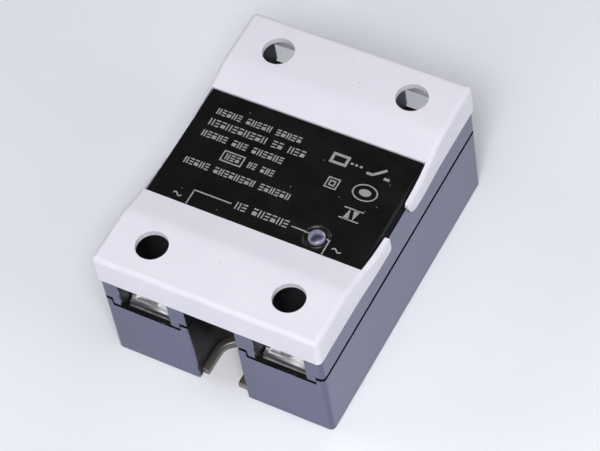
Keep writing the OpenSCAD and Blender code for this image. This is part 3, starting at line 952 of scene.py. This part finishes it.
def status_light(finishes):
    """Low milky dome with its flange, the film's collar, and the reflector cup and post inside."""
    bottom = LED_LOW.z
    # A shallow cap with a tighter rounding round its rim.
    lean = math.radians(LED_CAP_SLOPE)
    cap_r = LED_CAP_R / math.sin(lean)
    rim_r = (LED_R - LED_CAP_R) / (1 - math.sin(lean))
    rim_z = LED_HIGH.z - cap_r * (1 - math.cos(lean)) - rim_r * math.cos(lean)
    dome = arc(LED_R - rim_r, rim_z, rim_r, 0, 90 - LED_CAP_SLOPE, 8)
    dome += arc(0, LED_HIGH.z - cap_r, cap_r, 90 - LED_CAP_SLOPE, 90, 8)[1:-1]
    profile = [(0, bottom), (LED_FLANGE_R - 0.12, bottom), (LED_FLANGE_R, bottom + 0.12)]
    profile += [(LED_FLANGE_R, bottom + LED_FLANGE_T - 0.1)]
    profile += [(LED_FLANGE_R - 0.1, bottom + LED_FLANGE_T)]
    profile += [(LED_R + 0.05, bottom + LED_FLANGE_T), (LED_R, bottom + LED_FLANGE_T + 0.05)]
    profile += dome + [(0, LED_HIGH.z)]
    lens = lathe("status_light_lens", profile, LED_X, LED_Y)
    lens.data.materials.append(finishes["led_epoxy"])
    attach(lens, "housing")
    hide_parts("led")
    collar = lathe(
        "status_light_collar",
        [
            (LED_R + 0.03, COLLAR_BOTTOM),
            (LED_R + 0.03, COLLAR_TOP - 0.04),
            (LED_R + 0.09, COLLAR_TOP),
            (LED_R + 0.35, COLLAR_TOP - 0.05),
            (COLLAR_R, COLLAR_TOP - 0.16),
            (COLLAR_R, COLLAR_BOTTOM),
        ],
        LED_X,
        LED_Y,
    )
    collar.data.materials.append(finishes["label_film"])
    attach(collar, "housing")
    cup_bottom = LED_CUP_Z - 0.9
    cup = lathe(
        "status_light_cup",
        [
            (0, cup_bottom),
            (0.45, cup_bottom),
            (LED_CUP_R, LED_CUP_Z - 0.5),
            (LED_CUP_R, LED_CUP_Z),
            (LED_CUP_R - 0.1, LED_CUP_Z),
            (0.32, LED_CUP_Z - 0.42),
            (0, LED_CUP_Z - 0.42),
        ],
        LED_X + 0.2,
        LED_Y,
    )
    post = mesh_object(
        "status_light_post",
        prism(
            [
                (LED_X - 1.2, LED_Y - 0.25),
                (LED_X - 0.8, LED_Y - 0.25),
                (LED_X - 0.8, LED_Y + 0.25),
                (LED_X - 1.2, LED_Y + 0.25),
            ],
            bottom + 0.1,
            LED_CUP_Z + 0.1,
        ),
    )
    soften(post, 0.06, weld=False)
    for part in (cup, post):
        part.data.materials.append(finishes["tinned_metal"])
        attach(part, "housing")


# ---------------------------------------------------------------- assembly

finishes = slot_materials()
finishes["label_ink"] = label_ink()
covers(finishes)
gussets(finishes)
label_print(finishes)
status_light(finishes)

SOFT_EDGES = {
    "upper_case": 0.14,
    "lower_case": 0.14,
    "base_plate": 0.28,
    "label": 0.05,
}
for name, node in NODES.items():
    slot = node.data.materials[0].name
    key = slot.split(".")[0]
    for i in range(len(node.material_slots)):
        node.material_slots[i].link = "OBJECT"
        node.material_slots[i].material = finishes[key]
    if name in SOFT_EDGES:
        soften(node, SOFT_EDGES[name])
    elif name.startswith(("clamp_washer", "terminal_screw")):
        soften(node, 0.06)

# ---------------------------------------------------------------- stage


def stage():
    """Plain pale floor, a key lamp on the camera's side, soft lamps round it and one below."""
    half_width = 900
    data = bmesh.new()
    bmesh.ops.create_grid(data, x_segments=8, y_segments=8, size=half_width)
    floor = mesh_object("floor", data)
    floor.data.materials.append(floor_paper())

    def lamp(name, azimuth, elevation, distance, size, watts, colour):
        """A round soft lamp that faces the frame's origin, at a distance in metres."""
        light = bpy.data.lights.new(name, "AREA")
        light.shape = "DISK"
        light.size = size
        light.energy = watts
        light.color = colour
        obj = bpy.data.objects.new(name, light)
        bpy.context.scene.collection.objects.link(obj)
        obj.location = direction(azimuth, elevation) * distance
        obj.rotation_euler = obj.location.to_track_quat("Z", "Y").to_euler()
        obj.visible_camera = False

    cool = (0.97, 0.98, 1.0)
    lamp("key", 32, 57, 0.38, 0.13, 0.72, (1.0, 0.985, 0.975))
    lamp("right_fill", 95, 30, 0.8, 0.5, 1.36, cool)
    lamp("front_fill", 5, 40, 0.8, 0.5, 1.55, cool)
    lamp("left_fill", 285, 30, 0.8, 0.5, 1.26, cool)
    lamp("back_fill", 165, 30, 0.8, 0.5, 1.20, cool)
    lamp("top_fill", 60, 80, 0.7, 0.4, 0.63, cool)
    lamp("under_fill", 150, -50, 0.8, 0.5, 1.30, cool)
    world = bpy.data.worlds.new("room")
    bpy.context.scene.world = world
    world.use_nodes = True
    back = world.node_tree.nodes["Background"]
    back.inputs["Color"].default_value = (0.86, 0.90, 1.0, 1.0)
    back.inputs["Strength"].default_value = 0.01


def direction(azimuth, elevation):
    """Unit vector; azimuth is counted from the front, towards +X."""
    a, e = math.radians(azimuth), math.radians(elevation)
    return Vector((math.sin(a) * math.cos(e), -math.cos(a) * math.cos(e), math.sin(e)))


def camera():
    """Camera at the photograph's angle."""
    azimuth, elevation, roll = 37.013, 54.279, -11.024
    distance = 483.81
    focal_length = 162.469
    target = Vector((1.820, -0.779, 14.0)) * MM
    away = direction(azimuth, elevation)
    lens = bpy.data.cameras.new("camera")
    lens.lens = focal_length
    lens.sensor_width = 36.0
    lens.clip_start = 0.01
    obj = bpy.data.objects.new("camera", lens)
    bpy.context.scene.collection.objects.link(obj)
    right = Vector((0, 0, 1)).cross(away).normalized()
    above = away.cross(right)
    turn = math.radians(roll)
    tilted = math.cos(turn) * right + math.sin(turn) * above
    upright = away.cross(tilted)
    pose = Matrix((tilted, upright, away)).transposed().to_4x4()
    pose.translation = target + away * (distance * MM)
    obj.matrix_world = pose
    bpy.context.scene.camera = obj


stage()
camera()
bpy.context.scene.view_settings.view_transform = "Standard"
